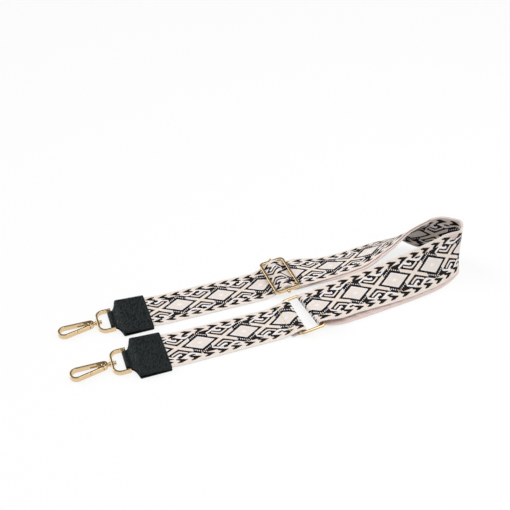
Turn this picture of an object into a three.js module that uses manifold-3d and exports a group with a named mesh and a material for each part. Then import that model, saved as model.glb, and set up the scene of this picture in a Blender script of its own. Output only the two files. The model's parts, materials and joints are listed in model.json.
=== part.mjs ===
// Woven shoulder strap for a bag, lying folded on a table: patterned webbing doubled back through a
// ring and a slider, and at each end a leather tab, a swivel eye and a snap hook.
// Millimetres, +Z up. The two straight runs lie along X, hooks towards -X and the bend towards +X.
import * as THREE from 'three';
import { mergeVertices } from 'three/addons/utils/BufferGeometryUtils.js';
import Module from 'manifold-3d';

// Webbing
const webbingWidth = 50;
const webbingThickness = 1.4;
const layerGap = 0.4;
const runSpacing = 65.8;
const loopReach = 230;
const foldClearance = 0.6;
const foldLooseness = 4;
const flapLength = 13;
const webbingStep = 7;
const foldStep = 2;
const bandParts = 3;
const cutGap = 0.3;
const floorGap = 0.05;

// Ring: a bent rod that joins the short webbing to the long one
const ringRod = 3.4;
const ringLength = 28.5;
const ringPlay = 0.75;
const ringWidth = webbingWidth + ringRod + 2 * ringPlay;
const ringCorner = 4;
const ringLeftX = -3.2;
const ringPitch = THREE.MathUtils.degToRad(9);

// Slider: a cast frame with a loose bar across it
const sliderX = 8.7;
const sliderLength = 31;
const sliderRail = 3;
const sliderPlay = 0.65;
const sliderWidth = webbingWidth + 2 * (sliderRail + sliderPlay);
const sliderRailHeight = 4;
const sliderCorner = 5.5;
const sliderEdge = 0.7;
const sliderPitch = THREE.MathUtils.degToRad(6.7);
const sliderLanding = 24;
const sliderHeight = 10;
const barRadius = 1.25;
const barStand = 2;
const barHead = 1.7;

// Leather tabs
const leatherThickness = 1.3;
const tabLength = 33;
const tabMargin = 3;
const tabWidth = webbingWidth + 2 * tabMargin;
const tabInset = 28;
const tabCorner = 1.5;
const tongueLength = 8.3;
const tongueWidth = 24;
const frontTabX = -145.4;
const rearTabX = -148.1;

// Swivel eye
const eyeWidth = 34;
const eyeBand = 2.3;
const eyeHeight = 5;
const eyeCorner = 9;
const eyeReach = 16.1;
const eyeHeel = 1.8;
const eyeHeelCorner = 1;
const eyeBarRadius = 1.2;
const hardwareHeight = 2.9;

// Snap hook
const hookBand = 2.3;
const hookHeight = 5.6;
const hookEdge = 0.5;
const pivotReach = 7.5;
const baseRadius = 4.5;
const baseHeight = 4.4;
const bowReach = 34.5;
const bowOffset = 2.75;
const bowRadius = 7.75;
const throatReach = 14;
const neckStart = 0.3;
const neckRadius = 2.7;
const neckWaist = 2.1;
const shankRadius = 1.4;
const washerRadius = 2.75;
const washerThickness = 0.8;
const peenRadius = 2.1;
const peenLength = 1.5;
const peenBore = 1.1;

// Gate, its pin and its spring
const gateReach = 16.2;
const gateGap = 0.35;
const gateSwing = THREE.MathUtils.degToRad(28);
const knuckleRadius = 3;
const knuckleThickness = 0.9;
const slotHeight = 3;
const pinRadius = 1;
const pinHeadRadius = 2.2;
const pinHeadHeight = 0.25;
const channelLength = 9;
const channelDepth = 0.9;
const springWire = 0.3;
const springPitch = 0.42;
const springRadius = 1.7;
const springTurns = 2.5;
const springLeg = 4;

const clearance = 0.3;
const overrun = 2;
const roundSides = 24;
const rodSides = 12;

const wasm = await Module();
wasm.setup();

// Finishes
const finish = (color, roughness, metalness) => new THREE.MeshStandardMaterial({ color, roughness, metalness });
const weave = finish('#e6dcd0', 0.9, 0);
const leather = finish('#25292a', 0.6, 0);
const gold = finish('#d9b987', 0.3, 1);
const steel = finish('#8b8d90', 0.35, 1);

// A closed mesh as a solid that can be cut, and back again
function toSolid(geometry) {
  const bare = geometry.clone();
  bare.deleteAttribute('normal');
  bare.deleteAttribute('uv');
  const welded = mergeVertices(bare);
  const vertProperties = new Float32Array(welded.attributes.position.array);
  const triVerts = new Uint32Array(welded.index.array);
  return new wasm.Manifold(new wasm.Mesh({ numProp: 3, vertProperties, triVerts }));
}

function toGeometry(solid) {
  const mesh = solid.getMesh();
  const geometry = new THREE.BufferGeometry();
  geometry.setAttribute('position', new THREE.BufferAttribute(mesh.vertProperties, 3));
  geometry.setIndex(new THREE.BufferAttribute(mesh.triVerts, 1));
  geometry.computeVertexNormals();
  return geometry;
}

const group = new THREE.Group();

function place(name, geometry, material, parent = group) {
  const mesh = new THREE.Mesh(geometry, material);
  mesh.name = name;
  parent.add(mesh);
  return mesh;
}

// A body lofted through rings of points: capped at both ends, or joined end to end
function loft(rings, closed = false) {
  const count = rings[0].length;
  const positions = rings.flat().flatMap((p) => [p.x, p.y, p.z]);
  const index = [];
  const last = closed ? rings.length : rings.length - 1;
  for (let i = 0; i < last; i++) {
    const here = i * count;
    const next = ((i + 1) % rings.length) * count;
    for (let j = 0; j < count; j++) {
      const k = (j + 1) % count;
      index.push(here + j, here + k, next + k, here + j, next + k, next + j);
    }
  }
  if (!closed) {
    const end = (rings.length - 1) * count;
    for (let j = 1; j < count - 1; j++) {
      index.push(0, j + 1, j, end, end + j, end + j + 1);
    }
  }
  const geometry = new THREE.BufferGeometry();
  geometry.setAttribute('position', new THREE.Float32BufferAttribute(positions, 3));
  geometry.setIndex(index);
  geometry.computeVertexNormals();
  return geometry;
}

// Upright cylinder between two heights, about a point of the plan
function post(x, y, radius, low, high, sides = roundSides) {
  return new THREE.CylinderGeometry(radius, radius, high - low, sides)
    .rotateX(Math.PI / 2)
    .translate(x, y, (low + high) / 2);
}

function block(xLow, xHigh, yLow, yHigh, zLow, zHigh) {
  return new THREE.BoxGeometry(xHigh - xLow, yHigh - yLow, zHigh - zLow)
    .translate((xLow + xHigh) / 2, (yLow + yHigh) / 2, (zLow + zHigh) / 2);
}

// Webbing: frames along a path, and the band between two of them
const half = webbingWidth / 2;
const halfThickness = webbingThickness / 2;
const layerPitch = webbingThickness + layerGap;
const bandSection = [
  ...Array.from({ length: bandParts + 1 }, (_, i) => [1 - 2 * i / bandParts, 1]),
  ...Array.from({ length: bandParts + 1 }, (_, i) => [2 * i / bandParts - 1, -1]),
];
const up = new THREE.Vector3(0, 0, 1);
const across = new THREE.Vector3(0, 1, 0);

function bandPath(stops) {
  const middle = new THREE.CatmullRomCurve3(stops.map((s) => s.at));
  const sideways = new THREE.CatmullRomCurve3(stops.map((s) => s.side));
  const names = Object.fromEntries(stops.map((s, i) => [s.name ?? `stop${i}`, i]));
  const frames = (from, to) => {
    const list = [];
    for (let i = names[from]; i < names[to]; i++) {
      const run = stops[i].at.distanceTo(stops[i + 1].at);
      const step = stops[i].fold && stops[i + 1].fold ? foldStep : webbingStep;
      const steps = Math.max(1, Math.round(run / step));
      for (let k = 0; k < steps; k++) list.push([i, k / steps]);
    }
    list.push([names[to] - 1, 1]);
    return list.map(([i, part]) => {
      const t = (i + part) / (stops.length - 1);
      const along = middle.getTangent(t);
      const even = stops[i].fold || stops[i + 1].fold;
      const side = even ? stops[i].side.clone().lerp(stops[i + 1].side, part) : sideways.getPoint(t);
      const face = along.clone().cross(side).normalize();
      return { at: middle.getPoint(t), along, face, side: face.clone().cross(along).normalize() };
    });
  };
  return { frames, stops };
}

// The band between two named stops, drawn back from a neighbour by half a cut at each end
function band(path, from, to, trimStart = cutGap / 2, trimEnd = cutGap / 2) {
  const frames = path.frames(from, to);
  frames[0].at.addScaledVector(frames[0].along, trimStart);
  frames.at(-1).at.addScaledVector(frames.at(-1).along, -trimEnd);
  return loft(frames.map(({ at, face, side }) => bandSection.map(([a, b]) => at.clone()
    .addScaledVector(side, a * half)
    .addScaledVector(face, b * halfThickness))));
}

const stop = (x, y, z, extra = {}) => ({ at: new THREE.Vector3(x, y, z), side: across.clone(), ...extra });

// Places that the webbing and the metal share
const frontLine = -runSpacing / 2;
const rearLine = runSpacing / 2;
const ringLeftZ = floorGap + webbingThickness + foldClearance + ringRod / 2;
const ringRightX = ringLeftX + ringLength * Math.cos(ringPitch);
const ringRightZ = ringLeftZ + ringLength * Math.sin(ringPitch);
const foldRise = ringRod / 2 + foldClearance + halfThickness;
const floorZ = floorGap + halfThickness;
const railOffset = (sliderLength - sliderRail) / 2;
const railX = [-1, 1].map((s) => sliderX + s * railOffset * Math.cos(sliderPitch));
const railZ = [-1, 1].map((s) => sliderHeight + s * railOffset * Math.sin(sliderPitch));
const railInside = [1, -1].map((s, i) => railX[i] + s * sliderRail / 2);
const underRail = railZ.map((z) => z - sliderRailHeight / 2 - layerGap - halfThickness);
const loopRadius = barRadius + clearance + halfThickness;
const tabSlotZ = leatherThickness + clearance + halfThickness;

// The bend, from the ring round to the slider: how far along, how far across, the lift of the outer
// edge and how far the band leans in, with the lower layer's gap and sideways shift beside it
const bendShares = [
  [0.20, -0.468, 0.128, 0.10, 2.5, 0.090],
  [0.297, -0.433, 0.117, 0.138, 2.0, 0.120],
  [0.47, -0.416, 0.090, 0.23, 1.4, 0.088],
  [0.623, -0.415, 0.090, 0.379, 1.0, 0.078],
  [0.77, -0.375, 0.100, 0.506, 1.0, 0.075],
  [0.90, -0.264, 0.080, 0.686, 1.0, 0.030],
  [0.966, -0.157, 0.046, 0.95, 1.0, 0],
  [0.998, 0.095, 0.042, 1.01, 1.0, 0],
  [0.939, 0.277, 0.048, 1.04, 1.0, 0],
  [0.86, 0.413, 0.069, 0.867, 1.0, 0],
  [0.757, 0.486, 0.206, 0.559, 1.0, 0],
  [0.613, 0.473, 0.182, 0.333, 1.0, 0],
  [0.463, 0.452, 0.114, 0.164, 1.0, 0],
  [0.301, 0.473, 0.055, 0.113, 1.0, 0],
];
const bendMiddles = bendShares.map(([x, y, lift, lean]) => new THREE.Vector3(
  x * loopReach,
  y * runSpacing,
  lift * webbingWidth + half * Math.sin(lean * Math.PI / 2),
));
const outerBend = [];
const innerBend = [];
bendShares.forEach(([, , , lean, gap, shift], i) => {
  const before = bendMiddles[Math.max(0, i - 1)];
  const after = bendMiddles[Math.min(bendMiddles.length - 1, i + 1)];
  const along = after.clone().sub(before).normalize();
  const inward = up.clone().cross(along).normalize();
  const rise = along.clone().cross(inward);
  const angle = lean * Math.PI / 2;
  const side = inward.clone().multiplyScalar(Math.cos(angle)).addScaledVector(rise, Math.sin(angle));
  const under = inward.clone().multiplyScalar(Math.sin(angle)).addScaledVector(rise, -Math.cos(angle));
  const at = bendMiddles[i];
  outerBend.push({ at, side });
  innerBend.push({
    at: at.clone().addScaledVector(under, gap * layerPitch).addScaledVector(side, -shift * webbingWidth),
    side: side.clone(),
  });
});
outerBend.at(-2).name = 'outerCut';
innerBend.at(-2).name = 'innerCut';

// The long webbing, from its sewn end round the slider's bar, through the ring and back over itself
const strandX = railX[1] + flapLength;
const aroundBar = (angle, radius, extra) => stop(
  sliderX + radius * Math.cos(angle),
  rearLine,
  sliderHeight + radius * Math.sin(angle),
  { side: across.clone().negate(), fold: true, ...extra },
);
const rearStop = (x, z, extra) => stop(x, rearLine, z, { side: across.clone().negate(), ...extra });
const hump = loopRadius + layerPitch;
const foldArc = (x, z, from, to, count, y = frontLine) => Array.from({ length: count }, (_, i) => {
  const angle = from + (to - from) * i / (count - 1);
  return stop(x + foldRise * Math.cos(angle), y, z + foldRise * Math.sin(angle), { fold: true });
});
const longPath = bandPath([
  rearStop(strandX - layerGap, underRail[1] - layerPitch, { name: 'flapEnd' }),
  rearStop(railInside[1], underRail[1] - layerPitch, { fold: true }),
  aroundBar(Math.PI / 3, loopRadius),
  aroundBar(Math.PI / 2, loopRadius),
  aroundBar(Math.PI * 3 / 4, loopRadius),
  aroundBar(Math.PI, loopRadius),
  aroundBar(Math.PI * 5 / 4, loopRadius),
  aroundBar(Math.PI * 3 / 2, loopRadius),
  rearStop(railInside[1], underRail[1] - 2 * layerPitch, { fold: true }),
  rearStop(strandX, underRail[1] - 2 * layerPitch, { name: 'innerStrand' }),
  ...[...innerBend].reverse(),
  stop(ringRightX + ringRod, frontLine, ringRightZ - foldRise - layerGap, { fold: true }),
  ...foldArc(ringRightX - foldLooseness, ringRightZ, -Math.PI / 2, -Math.PI * 3 / 2, 7),
  stop(ringRightX + ringRod, frontLine, ringRightZ + foldRise, { fold: true }),
  ...outerBend,
  rearStop(strandX, underRail[1], { name: 'outerStrand' }),
  rearStop(railInside[1], underRail[1], { fold: true }),
  aroundBar(Math.PI / 3, hump),
  aroundBar(Math.PI / 2, hump),
  aroundBar(Math.PI * 2 / 3, hump),
  rearStop(railInside[0], underRail[0], { fold: true }),
  rearStop(railX[0] - sliderRail, underRail[0] - layerPitch, { name: 'freeStrand' }),
  rearStop(railX[0] - sliderLanding / 2, floorZ + layerGap),
  rearStop(railX[0] - sliderLanding, floorZ),
  rearStop(railX[0] - 2 * sliderLanding, floorZ),
  rearStop(rearTabX + tabLength, floorZ),
  rearStop(rearTabX + tabLength / 2, floorZ),
  rearStop(rearTabX - tabCorner, tabSlotZ),
  rearStop(rearTabX - tabInset, tabSlotZ, { name: 'rearEnd' }),
]);
place('webbing_end_loop', band(longPath, 'flapEnd', 'innerStrand'), weave);
place('inner_strand', band(longPath, 'innerStrand', 'innerCut'), weave);
place('long_webbing', band(longPath, 'innerCut', 'outerCut'), weave);
place('outer_strand', band(longPath, 'outerCut', 'outerStrand'), weave);
place('slider_webbing', band(longPath, 'outerStrand', 'freeStrand'), weave);
place('rear_webbing', band(longPath, 'freeStrand', 'rearEnd'), weave);

// The short webbing, from the front tab to its sewn fold round the ring's left bar
const flapEndX = ringLeftX - flapLength;
const shortPath = bandPath([
  stop(frontTabX - tabInset, frontLine, tabSlotZ, { name: 'tabEnd' }),
  stop(frontTabX - tabCorner, frontLine, tabSlotZ),
  stop(frontTabX + tabLength / 2, frontLine, floorZ),
  stop(frontTabX + tabLength, frontLine, floorZ),
  stop(flapEndX - 2 * flapLength, frontLine, floorZ),
  stop(flapEndX - flapLength, frontLine, floorZ),
  stop(flapEndX, frontLine, floorZ + layerPitch),
  stop(ringLeftX, frontLine, ringLeftZ + foldRise, { fold: true }),
  ...foldArc(ringLeftX + foldLooseness, ringLeftZ, Math.PI / 2, -Math.PI / 2, 7),
  stop(flapEndX, frontLine, floorZ, { name: 'sewnEnd', fold: true }),
]);
place('short_webbing', band(shortPath, 'tabEnd', 'sewnEnd', 0, 0), weave);

// Ring: a round rod bent to a rectangle, one unbroken loop
const circle = (count, radius) => Array.from({ length: count }, (_, i) => {
  const angle = 2 * Math.PI * i / count;
  return [radius * Math.cos(angle), radius * Math.sin(angle)];
});
function roundedCorners(xHalf, yHalf, radius, steps) {
  const corners = [[1, 1, 0], [-1, 1, 1], [-1, -1, 2], [1, -1, 3]];
  return corners.flatMap(([sx, sy, quarter]) => Array.from({ length: steps + 1 }, (_, i) => {
    const angle = (quarter + i / steps) * Math.PI / 2;
    return {
      x: sx * (xHalf - radius) + radius * Math.cos(angle),
      y: sy * (yHalf - radius) + radius * Math.sin(angle),
      out: new THREE.Vector3(Math.cos(angle), Math.sin(angle), 0),
    };
  }));
}
const ringMiddle = new THREE.Group();
ringMiddle.position.set((ringLeftX + ringRightX) / 2, frontLine, (ringLeftZ + ringRightZ) / 2);
ringMiddle.rotation.y = -ringPitch;
group.add(ringMiddle);
place('ring', loft(roundedCorners(ringLength / 2, ringWidth / 2, ringCorner, 5).map(({ x, y, out }) => (
  circle(rodSides, ringRod / 2).map(([a, b]) => new THREE.Vector3(x, y, -b).addScaledVector(out, a))
)), true), gold, ringMiddle);

// Slider frame: a flat casting with soft edges, its near and far rails drilled for the bar
function roundedRectangle(shape, xLow, xHigh, yLow, yHigh, radius) {
  const turn = Math.PI / 2;
  shape.absarc(xHigh - radius, yHigh - radius, radius, 0, turn);
  shape.absarc(xLow + radius, yHigh - radius, radius, turn, 2 * turn);
  shape.absarc(xLow + radius, yLow + radius, radius, 2 * turn, 3 * turn);
  shape.absarc(xHigh - radius, yLow + radius, radius, 3 * turn, 4 * turn);
  shape.closePath();
  return shape;
}
// An outline with round edges, standing on both sides of the level z = 0
function plate(shape, height, edge, curveSegments = 6) {
  return new THREE.ExtrudeGeometry(shape, {
    depth: height - 2 * edge,
    curveSegments,
    bevelEnabled: edge > 0,
    bevelThickness: edge,
    bevelSize: edge,
    bevelOffset: -edge,
    bevelSegments: 2,
  }).translate(0, 0, edge - height / 2);
}
const along = (length, radius, sides = roundSides) => new THREE.CylinderGeometry(radius, radius, length, sides);
const sliderMiddle = new THREE.Group();
sliderMiddle.position.set(sliderX, rearLine, sliderHeight);
sliderMiddle.rotation.y = -sliderPitch;
group.add(sliderMiddle);
const frameShape = roundedRectangle(
  new THREE.Shape(), -sliderLength / 2, sliderLength / 2, -sliderWidth / 2, sliderWidth / 2, sliderCorner,
);
const windowX = sliderLength / 2 - sliderRail;
const windowY = sliderWidth / 2 - sliderRail;
frameShape.holes.push(roundedRectangle(
  new THREE.Path(), -windowX, windowX, -windowY, windowY, sliderCorner - sliderRail,
));
place('slider_frame', toGeometry(
  toSolid(plate(frameShape, sliderRailHeight, sliderEdge))
    .subtract(toSolid(along(sliderWidth + overrun, barRadius + clearance))),
), gold, sliderMiddle);

// Slider bar: turned down rod, its ends swaged to heads outside the frame
const barEnd = sliderWidth / 2 + barStand;
const headStart = sliderWidth / 2 + clearance;
const barProfile = [
  [0, -barEnd], [barHead - sliderEdge, -barEnd], [barHead, -barEnd + sliderEdge], [barHead, -headStart],
  [barRadius, -headStart], [barRadius, headStart],
  [barHead, headStart], [barHead, barEnd - sliderEdge], [barHead - sliderEdge, barEnd], [0, barEnd],
].map(([r, y]) => new THREE.Vector2(r, y));
place('slider_bar', new THREE.LatheGeometry(barProfile, roundSides), gold, sliderMiddle);

// One end of the strap, built at the origin with the hook towards +X, then turned to face -X:
// the leather tab, the swivel eye, the hook with its gate, pin, spring and washer
const tongueReach = tabLength + tongueLength;
const eyeFaceX = tongueReach + eyeReach;

function leatherTab() {
  const thickness = 2 * leatherThickness + webbingThickness + 2 * clearance;
  const outline = new THREE.Shape();
  const side = tabWidth / 2;
  const tongue = tongueWidth / 2;
  outline.moveTo(tabCorner, -side);
  outline.lineTo(tabLength - tabCorner, -side);
  outline.quadraticCurveTo(tabLength, -side, tabLength, -side + tabCorner);
  outline.bezierCurveTo(
    tabLength + tabCorner, (-side - tongue) / 2, tabLength + tongueLength / 3, -tongue - tabCorner,
    tongueReach, -tongue,
  );
  outline.lineTo(tongueReach, tongue);
  outline.bezierCurveTo(
    tabLength + tongueLength / 3, tongue + tabCorner, tabLength + tabCorner, (side + tongue) / 2,
    tabLength, side - tabCorner,
  );
  outline.quadraticCurveTo(tabLength, side, tabLength - tabCorner, side);
  outline.lineTo(tabCorner, side);
  outline.quadraticCurveTo(0, side, 0, side - tabCorner);
  outline.lineTo(0, -side + tabCorner);
  outline.quadraticCurveTo(0, -side, tabCorner, -side);
  const foldRadius = eyeBarRadius + clearance + leatherThickness;
  const panel = toSolid(plate(outline, thickness, leatherThickness / 3, 6).translate(0, 0, thickness / 2));
  const fold = toSolid(along(tongueWidth, foldRadius).translate(tongueReach, 0, hardwareHeight));
  const pocket = toSolid(block(
    -overrun, tabInset + clearance, -half - clearance, half + clearance,
    leatherThickness, thickness - leatherThickness,
  ));
  const tunnel = toSolid(along(tabWidth + overrun, eyeBarRadius + clearance)
    .translate(tongueReach, 0, hardwareHeight));
  return toGeometry(panel.add(fold).subtract(pocket).subtract(tunnel));
}

// Eye: flat band bent to a D, a round bar across its heel and a hole for the hook's shank
function swivelEye() {
  const shape = new THREE.Shape();
  const side = eyeWidth / 2;
  const turn = Math.PI / 2;
  const heel = -eyeHeel;
  shape.absarc(eyeReach - eyeCorner, side - eyeCorner, eyeCorner, 0, turn);
  shape.absarc(heel + eyeHeelCorner, side - eyeHeelCorner, eyeHeelCorner, turn, 2 * turn);
  shape.absarc(heel + eyeHeelCorner, -side + eyeHeelCorner, eyeHeelCorner, 2 * turn, 3 * turn);
  shape.absarc(eyeReach - eyeCorner, -side + eyeCorner, eyeCorner, 3 * turn, 4 * turn);
  shape.closePath();
  const inner = new THREE.Path();
  const innerCorner = eyeCorner - eyeBand;
  inner.absarc(eyeReach - eyeCorner, side - eyeCorner, innerCorner, 0, turn);
  inner.lineTo(heel - overrun, side - eyeBand);
  inner.lineTo(heel - overrun, -side + eyeBand);
  inner.absarc(eyeReach - eyeCorner, -side + eyeCorner, innerCorner, 3 * turn, 4 * turn);
  inner.closePath();
  const innerShape = new THREE.Shape(inner.getPoints(6));
  const solid = toSolid(plate(shape, eyeHeight, hookEdge, 6))
    .subtract(toSolid(plate(innerShape, eyeHeight + overrun, 0)))
    .add(toSolid(along(eyeWidth - eyeBand, eyeBarRadius, rodSides)))
    .subtract(toSolid(along(eyeBand + overrun, shankRadius + clearance)
      .rotateZ(Math.PI / 2).translate(eyeReach - eyeBand / 2, 0, 0)));
  return toGeometry(solid);
}

// The drop-shaped outline round two circles, drawn in by an inset
const bowDistance = Math.hypot(bowReach - pivotReach, bowOffset);
const axisAngle = Math.atan2(bowOffset, bowReach - pivotReach);
const flareAngle = Math.asin((bowRadius - baseRadius) / bowDistance);
function dropShape(inset, Kind = THREE.Shape) {
  const shape = new Kind();
  const quarter = Math.PI / 2;
  shape.absarc(
    pivotReach, 0, baseRadius - inset,
    axisAngle + flareAngle + quarter, axisAngle - flareAngle - quarter + 2 * Math.PI,
  );
  shape.absarc(
    bowReach, bowOffset, bowRadius - inset,
    axisAngle - flareAngle - quarter, axisAngle + flareAngle + quarter,
  );
  shape.closePath();
  return shape;
}
const gateAngle = axisAngle + flareAngle;
const tall = [-2 * hookHeight, 2 * hookHeight];
const disc = (radius, low = tall[0], high = tall[1], sides = roundSides) => (
  toSolid(post(pivotReach, 0, radius, low, high, sides))
);
const inBand = baseRadius - hookBand;

// The ring about the pivot that the gate's band takes up, outside a line turned from the gate's
function gateZone(grow, turned) {
  const ring = disc(gateReach + grow, ...tall, 2 * roundSides)
    .subtract(disc(baseRadius + gateGap - grow, 2 * tall[0], 2 * tall[1]));
  const outside = block(0, gateReach + overrun, inBand - gateGap, 3 * baseRadius, ...tall)
    .rotateZ(gateAngle - turned).translate(pivotReach, 0, 0);
  return ring.intersect(toSolid(outside));
}

function hookBody() {
  const outside = toSolid(plate(dropShape(0), hookHeight, hookEdge, 12));
  const throat = toSolid(plate(dropShape(hookBand), hookHeight + overrun, 0, 12))
    .subtract(toSolid(block(0, throatReach, -bowRadius, bowRadius, ...tall)));
  const slotZ = [-slotHeight / 2, slotHeight / 2];
  const slotFront = block(pivotReach, 3 * pivotReach, -inBand - clearance, 3 * baseRadius, ...tall);
  const slot = disc(knuckleRadius + clearance, ...slotZ)
    .add(disc(baseRadius + 2 * hookEdge + clearance, ...slotZ).intersect(toSolid(slotFront)));
  const lowered = disc(pinHeadRadius + clearance, baseHeight / 2, tall[1])
    .add(disc(pinHeadRadius + clearance, tall[0], -baseHeight / 2));
  const shankEnd = -eyeBand - washerThickness - 3 * clearance;
  const neckEnd = pivotReach - knuckleRadius - 2 * clearance;
  const neckProfile = [
    [0, shankEnd - peenLength + peenBore], [peenBore, shankEnd - peenLength],
    [peenRadius, shankEnd - peenLength], [shankRadius, shankEnd],
    [shankRadius, neckStart], [neckRadius, neckStart],
    [neckRadius, neckStart + washerThickness], [neckWaist, pivotReach - baseRadius],
    [neckWaist, neckEnd], [0, neckEnd],
  ].map(([r, x]) => new THREE.Vector2(r, x));
  const neck = new THREE.LatheGeometry(neckProfile, roundSides).rotateZ(-Math.PI / 2);
  const channel = block(
    knuckleRadius, baseRadius + channelLength, -inBand - channelDepth, 0, ...slotZ,
  ).rotateZ(axisAngle - flareAngle).translate(pivotReach, 0, 0);
  return toGeometry(outside
    .subtract(throat)
    .subtract(gateZone(gateGap, 0))
    .subtract(gateZone(gateGap, gateSwing))
    .subtract(slot)
    .subtract(toSolid(channel))
    .subtract(lowered)
    .subtract(disc(pinRadius + clearance, ...tall, rodSides))
    .add(toSolid(neck)));
}

function hookGate() {
  const gateBand = toSolid(plate(dropShape(0), hookHeight, hookEdge, 12))
    .subtract(toSolid(plate(dropShape(hookBand), hookHeight + overrun, 0, 12)))
    .intersect(gateZone(0, 0));
  const knuckleZ = [slotHeight / 2 - clearance - knuckleThickness, slotHeight / 2 - clearance];
  const arm = block(pinRadius + clearance, baseRadius + 2 * hookEdge, inBand - hookEdge, baseRadius - hookEdge, ...knuckleZ)
    .rotateZ(gateAngle).translate(pivotReach, 0, 0);
  return toGeometry(gateBand
    .add(disc(knuckleRadius, ...knuckleZ))
    .add(toSolid(arm))
    .subtract(disc(pinRadius + clearance, ...tall, rodSides)));
}

function gatePin() {
  const reach = baseHeight / 2 + clearance;
  const profile = [
    [0, -reach - pinHeadHeight], [pinHeadRadius, -reach - pinHeadHeight], [pinHeadRadius, -reach],
    [pinRadius, -reach], [pinRadius, reach],
    [pinHeadRadius, reach], [pinHeadRadius, reach + pinHeadHeight], [0, reach + pinHeadHeight],
  ].map(([r, z]) => new THREE.Vector2(r, z));
  return new THREE.LatheGeometry(profile, roundSides).rotateX(Math.PI / 2).translate(pivotReach, 0, 0);
}

// Torsion spring round the pin: one leg along the hook's back, the other behind the gate
function gateSpring() {
  const low = -slotHeight / 2 + clearance + springWire / 2;
  const start = -Math.PI / 2;
  const sweep = -(springTurns * 2 * Math.PI - gateAngle);
  const coilSteps = 24;
  const coil = Array.from({ length: coilSteps + 1 }, (_, i) => {
    const angle = start + sweep * i / coilSteps;
    return new THREE.Vector3(
      springRadius * Math.cos(angle), springRadius * Math.sin(angle), low + springTurns * springPitch * i / coilSteps,
    );
  });
  const leg = (from, angle) => from.clone().add(
    new THREE.Vector3(Math.cos(angle), Math.sin(angle), 0).multiplyScalar(springLeg),
  );
  const points = [leg(coil[0], 0), ...coil, leg(coil.at(-1), gateAngle)];
  const section = new THREE.Shape(circle(5, springWire / 2).map(([a, b]) => new THREE.Vector2(a, b)));
  return new THREE.ExtrudeGeometry(section, {
    steps: 2 * points.length,
    bevelEnabled: false,
    extrudePath: new THREE.CatmullRomCurve3(points),
  }).translate(pivotReach, 0, 0);
}

function washer() {
  const start = -eyeBand - clearance - washerThickness;
  const profile = [
    [shankRadius + clearance, 0], [washerRadius, 0], [washerRadius, washerThickness],
    [shankRadius + clearance, washerThickness], [shankRadius + clearance, 0],
  ].map(([r, x]) => new THREE.Vector2(r, x));
  return new THREE.LatheGeometry(profile, roundSides).rotateZ(-Math.PI / 2).translate(start, 0, 0);
}

function strapEnd(prefix, x, y) {
  const end = new THREE.Group();
  end.position.set(x, y, 0);
  end.rotation.z = Math.PI;
  group.add(end);
  place(`${prefix}_tab`, leatherTab(), leather, end);
  place(`${prefix}_eye`, swivelEye().translate(tongueReach, 0, hardwareHeight), gold, end);
  const hook = new THREE.Group();
  hook.position.set(eyeFaceX, 0, hardwareHeight);
  end.add(hook);
  place(`${prefix}_hook`, hookBody(), gold, hook);
  place(`${prefix}_gate`, hookGate(), gold, hook);
  place(`${prefix}_gate_pin`, gatePin(), gold, hook);
  place(`${prefix}_gate_spring`, gateSpring(), steel, hook);
  place(`${prefix}_washer`, washer(), gold, hook);
}
strapEnd('front', frontTabX, frontLine);
strapEnd('rear', rearTabX, rearLine);

// Origin: the middle of the underside of the box round the whole strap
group.updateMatrixWorld(true);
const box = new THREE.Box3().setFromObject(group, true);
const boxMiddle = box.getCenter(new THREE.Vector3());
group.position.set(-boxMiddle.x, -boxMiddle.y, -box.min.z);

export default group;
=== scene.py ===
"""Looks of a woven bag strap that lies folded on a table: patterned webbing with a ring, a slider,
two leather tabs and two swivel snap hooks. Sizes are in millimetres until a mesh is made."""
import json
import math

import bpy
import numpy as np
from mathutils import Matrix, Vector

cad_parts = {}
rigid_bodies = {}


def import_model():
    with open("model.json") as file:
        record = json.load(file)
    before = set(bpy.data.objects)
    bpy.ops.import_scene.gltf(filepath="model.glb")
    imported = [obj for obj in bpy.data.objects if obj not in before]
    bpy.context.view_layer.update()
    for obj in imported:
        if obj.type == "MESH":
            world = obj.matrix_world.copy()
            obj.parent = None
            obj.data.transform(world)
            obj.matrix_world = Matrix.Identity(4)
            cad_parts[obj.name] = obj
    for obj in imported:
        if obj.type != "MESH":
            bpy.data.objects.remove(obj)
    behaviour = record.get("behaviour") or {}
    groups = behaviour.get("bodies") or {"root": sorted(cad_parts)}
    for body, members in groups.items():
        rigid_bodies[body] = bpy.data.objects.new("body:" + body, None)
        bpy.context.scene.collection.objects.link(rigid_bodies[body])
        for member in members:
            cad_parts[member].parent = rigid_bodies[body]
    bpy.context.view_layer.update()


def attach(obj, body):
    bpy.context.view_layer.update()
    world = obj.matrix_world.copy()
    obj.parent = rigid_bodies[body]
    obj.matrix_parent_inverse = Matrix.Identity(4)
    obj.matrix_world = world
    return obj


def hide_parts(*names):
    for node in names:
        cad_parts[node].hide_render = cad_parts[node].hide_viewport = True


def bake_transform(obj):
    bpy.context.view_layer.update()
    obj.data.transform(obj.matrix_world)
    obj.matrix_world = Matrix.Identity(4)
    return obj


for old in list(bpy.data.objects):
    bpy.data.objects.remove(old)
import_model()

# Camera: above the near left corner of the table, about 0.8 m from the strap, with a slightly long lens.
camera_data = bpy.data.cameras.new("camera")
camera_data.sensor_width = 36
camera_data.lens = 49.57
camera_data.clip_start, camera_data.clip_end = 0.01, 20
camera = bpy.data.objects.new("camera", camera_data)
camera.location = Vector((-0.22924, -0.55535, 0.52910))
aim = Vector((0.00856, 0.09085, 0.0001))
camera.rotation_euler = (aim - camera.location).to_track_quat("-Z", "Y").to_euler()
bpy.context.scene.collection.objects.link(camera)
bpy.context.scene.camera = camera
bpy.context.scene.view_settings.view_transform = "Standard"

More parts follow.
